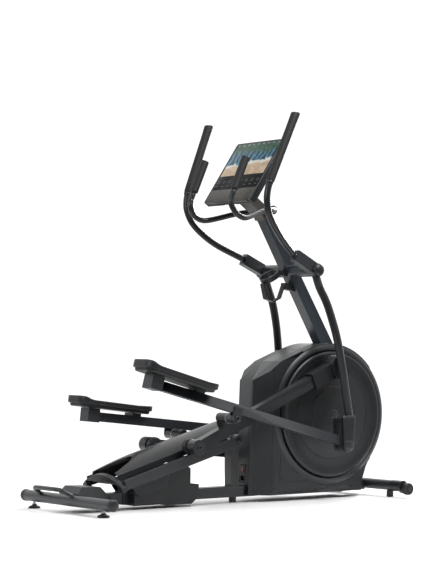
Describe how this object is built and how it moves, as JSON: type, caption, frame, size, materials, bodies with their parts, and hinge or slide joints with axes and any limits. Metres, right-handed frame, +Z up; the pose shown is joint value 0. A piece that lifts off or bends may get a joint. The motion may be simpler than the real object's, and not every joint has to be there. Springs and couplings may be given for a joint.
{
  "type": "elliptical trainer",
  "caption": "Front-drive elliptical trainer with pedals on roller arms, a tilting ramp, swinging and fixed handlebars, a housed flywheel drive and a tilting console.",
  "frame": {"origin": "on the floor, on the centre line, below the front end of the ramp where the centre foot stands", "axes": "+X forward towards the crank housing, +Y to the left of a user standing on the pedals, +Z up"},
  "size_m": [1.8113, 0.733, 1.7962],
  "materials": {
    "frame_paint": "satin",
    "mast_paint": "satin",
    "cover_plastic": "satin",
    "crown_plastic": "satin",
    "pedal_plastic": "matt grained",
    "grip_foam": "matt foam",
    "foot_rubber": "matt",
    "roller_tread": "satin",
    "bare_steel": "brushed",
    "motor_metal": "satin",
    "cast_iron": "machined",
    "belt_rubber": "matt",
    "bronze": "satin",
    "inlet_plastic": "matt",
    "switch_red": "gloss",
    "neck_plastic": "satin",
    "console_plastic": "satin",
    "screen_glass": "gloss"
  },
  "bodies": {
    "frame": {"base_frame": "frame_paint", "stabilizer_tubes": "frame_paint", "stabilizer_caps": "cover_plastic", "lift_handle": "frame_paint", "rear_cover": "cover_plastic", "lift_housing": "cover_plastic", "incline_motor": "motor_metal", "shroud_right": "cover_plastic", "shroud_left": "cover_plastic", "shroud_crown": "crown_plastic", "shroud_screws": "bare_steel", "crank_bearings": "bare_steel", "drive_belt": "belt_rubber", "resistance_brake": "motor_metal", "power_inlet": "inlet_plastic", "mast": "mast_paint", "swing_axle": "bare_steel", "bottle_holder": "cover_plastic", "fixed_handlebar": "frame_paint", "fixed_grips": "grip_foam", "console_neck": "neck_plastic"},
    "ramp": {"ramp_frame": "frame_paint", "ramp_cover": "crown_plastic", "ramp_trim": "cover_plastic"},
    "lift_screw": {"lift_screw": "bare_steel"},
    "crank": {"crank_axle": "bare_steel", "right_crank_disc": "cover_plastic", "left_crank_disc": "cover_plastic", "drive_pulley": "motor_metal"},
    "flywheel": {"flywheel": "cast_iron"},
    "idler": {"idler_pulley": "motor_metal"},
    "console": {"console_shell": "console_plastic", "console_screen": "screen_glass"},
    "power_switch": {"power_switch": "switch_red"},
    "right_carriage": {"right_roller_axle": "bare_steel"},
    "right_roller": {"right_ramp_roller": "roller_tread"},
    "right_bush": {"right_roller_bush": "bronze"},
    "right_roller_arm": {"right_roller_arm": "frame_paint", "right_crank_cover": "cover_plastic"},
    "right_pedal": {"right_pedal_arm": "frame_paint", "right_pedal": "pedal_plastic"},
    "right_arm": {"right_swing_leg": "frame_paint", "right_handlebar": "frame_paint", "right_grip": "grip_foam", "right_leg_cover": "cover_plastic"},
    "right_transport_wheel": {"right_transport_wheel": "foot_rubber"},
    "right_levelling_foot": {"right_levelling_foot": "foot_rubber"},
    "left_carriage": {"left_roller_axle": "bare_steel"},
    "left_roller": {"left_ramp_roller": "roller_tread"},
    "left_bush": {"left_roller_bush": "bronze"},
    "left_roller_arm": {"left_roller_arm": "frame_paint", "left_crank_cover": "cover_plastic"},
    "left_pedal": {"left_pedal_arm": "frame_paint", "left_pedal": "pedal_plastic"},
    "left_arm": {"left_swing_leg": "frame_paint", "left_handlebar": "frame_paint", "left_grip": "grip_foam", "left_leg_cover": "cover_plastic"},
    "left_transport_wheel": {"left_transport_wheel": "foot_rubber"},
    "left_levelling_foot": {"left_levelling_foot": "foot_rubber"}
  },
  "joints": [
    {"name": "ramp_incline", "type": "hinge", "parent": "frame", "child": "ramp", "pos_m": [-0.085, 0, 0.2948], "axis": [0, 1, 0], "range_deg": [0, 8]},
    {"name": "lift_screw_rise", "type": "slide", "parent": "frame", "child": "lift_screw", "axis": [0, 0, 1], "range_m": [-0.001, 0.04116]},
    {"name": "stride", "type": "hinge", "parent": "frame", "child": "right_arm", "pos_m": [0.327, 0, 1.075], "axis": [0, -1, 0], "range_deg": [0, 16.49]},
    {"name": "left_arm_swing", "type": "hinge", "parent": "frame", "child": "left_arm", "pos_m": [0.327, 0, 1.075], "axis": [0, -1, 0], "range_deg": [-18.6, 0.3]},
    {"name": "right_roller_travel", "type": "slide", "parent": "ramp", "child": "right_carriage", "axis": [0.963, 0, 0.2696], "range_m": [-0.002, 0.19515]},
    {"name": "right_roller_spin", "type": "hinge", "parent": "right_carriage", "child": "right_roller", "pos_m": [-0.34697, -0.132, 0.27345], "axis": [0, 1, 0], "range_deg": [-3, 310.4]},
    {"name": "right_bush_turn", "type": "hinge", "parent": "right_carriage", "child": "right_bush", "pos_m": [-0.34697, -0.18, 0.27345], "axis": [0, -1, 0], "range_deg": [-0.3, 5.62]},
    {"name": "right_roller_arm_tilt", "type": "hinge", "parent": "right_bush", "child": "right_roller_arm", "pos_m": [-0.34697, -0.184, 0.27345], "axis": [0, -1, 0], "range_deg": [-17.09, 0.3]},
    {"name": "right_pedal_tilt", "type": "hinge", "parent": "right_roller_arm", "child": "right_pedal", "pos_m": [-0.20274, -0.24, 0.40107], "axis": [0, -1, 0], "range_deg": [-0.3, 22.37]},
    {"name": "right_transport_wheel_spin", "type": "hinge", "parent": "frame", "child": "right_transport_wheel", "pos_m": [0.801, -0.303, 0.042], "axis": [0, 1, 0], "continuous": true},
    {"name": "right_levelling_foot_turn", "type": "hinge", "parent": "frame", "child": "right_levelling_foot", "pos_m": [-0.905, -0.281, 0], "axis": [0, 0, 1], "continuous": true},
    {"name": "left_roller_travel", "type": "slide", "parent": "ramp", "child": "left_carriage", "axis": [0.963, 0, 0.2696], "range_m": [-0.25291, 0.002]},
    {"name": "left_roller_spin", "type": "hinge", "parent": "left_carriage", "child": "left_roller", "pos_m": [-0.35762, 0.132, 0.27047], "axis": [0, 1, 0], "range_deg": [-402.33, 3]},
    {"name": "left_bush_turn", "type": "hinge", "parent": "left_carriage", "child": "left_bush", "pos_m": [-0.35762, 0.18, 0.27047], "axis": [0, -1, 0], "range_deg": [-0.3, 5.71]},
    {"name": "left_roller_arm_tilt", "type": "hinge", "parent": "left_bush", "child": "left_roller_arm", "pos_m": [-0.35762, 0.184, 0.27047], "axis": [0, -1, 0], "range_deg": [-0.3, 17.56]},
    {"name": "left_pedal_tilt", "type": "hinge", "parent": "left_roller_arm", "child": "left_pedal", "pos_m": [-0.16913, 0.24, 0.30999], "axis": [0, -1, 0], "range_deg": [-17.09, 0.3]},
    {"name": "left_transport_wheel_spin", "type": "hinge", "parent": "frame", "child": "left_transport_wheel", "pos_m": [0.801, 0.303, 0.042], "axis": [0, 1, 0], "continuous": true},
    {"name": "left_levelling_foot_turn", "type": "hinge", "parent": "frame", "child": "left_levelling_foot", "pos_m": [-0.905, 0.281, 0], "axis": [0, 0, 1], "continuous": true},
    {"name": "crank_turn", "type": "hinge", "parent": "frame", "child": "crank", "pos_m": [0.489, 0, 0.398], "axis": [0, 1, 0], "continuous": true},
    {"name": "flywheel_spin", "type": "hinge", "parent": "frame", "child": "flywheel", "pos_m": [0.219, 0, 0.338], "axis": [0, 1, 0], "continuous": true},
    {"name": "idler_spin", "type": "hinge", "parent": "frame", "child": "idler", "pos_m": [0.29621, -0.064, 0.26631], "axis": [0, 1, 0], "continuous": true},
    {"name": "console_tilt", "type": "hinge", "parent": "frame", "child": "console", "pos_m": [0.04421, 0, 1.42637], "axis": [0, 1, 0], "range_deg": [-10, 15]},
    {"name": "power_rocker", "type": "hinge", "parent": "frame", "child": "power_switch", "pos_m": [0.052, 0, 0.149], "axis": [0, 1, 0], "range_deg": [-16, 0]}
  ],
  "couplings": [
    {"joint": "lift_screw_rise", "follows": "ramp_incline", "m_per_rad": 0.289},
    {"joint": "left_arm_swing", "follows": "stride", "ratio": -1.1098},
    {"joint": "right_roller_travel", "follows": "stride", "m_per_rad": 0.6711},
    {"joint": "right_roller_spin", "follows": "stride", "ratio": 18.642},
    {"joint": "right_bush_turn", "follows": "ramp_incline", "ratio": 0.6651},
    {"joint": "right_roller_arm_tilt", "follows": "stride", "ratio": -1.0182},
    {"joint": "right_pedal_tilt", "follows": "stride", "ratio": 1.3384},
    {"joint": "left_roller_travel", "follows": "stride", "m_per_rad": -0.8718},
    {"joint": "left_roller_spin", "follows": "stride", "ratio": -24.217},
    {"joint": "left_bush_turn", "follows": "ramp_incline", "ratio": 0.67569},
    {"joint": "left_roller_arm_tilt", "follows": "stride", "ratio": 1.0467},
    {"joint": "left_pedal_tilt", "follows": "stride", "ratio": -1.0182},
    {"joint": "flywheel_spin", "follows": "crank_turn", "ratio": 6.8182},
    {"joint": "idler_spin", "follows": "crank_turn", "ratio": -6.8182}
  ]
}
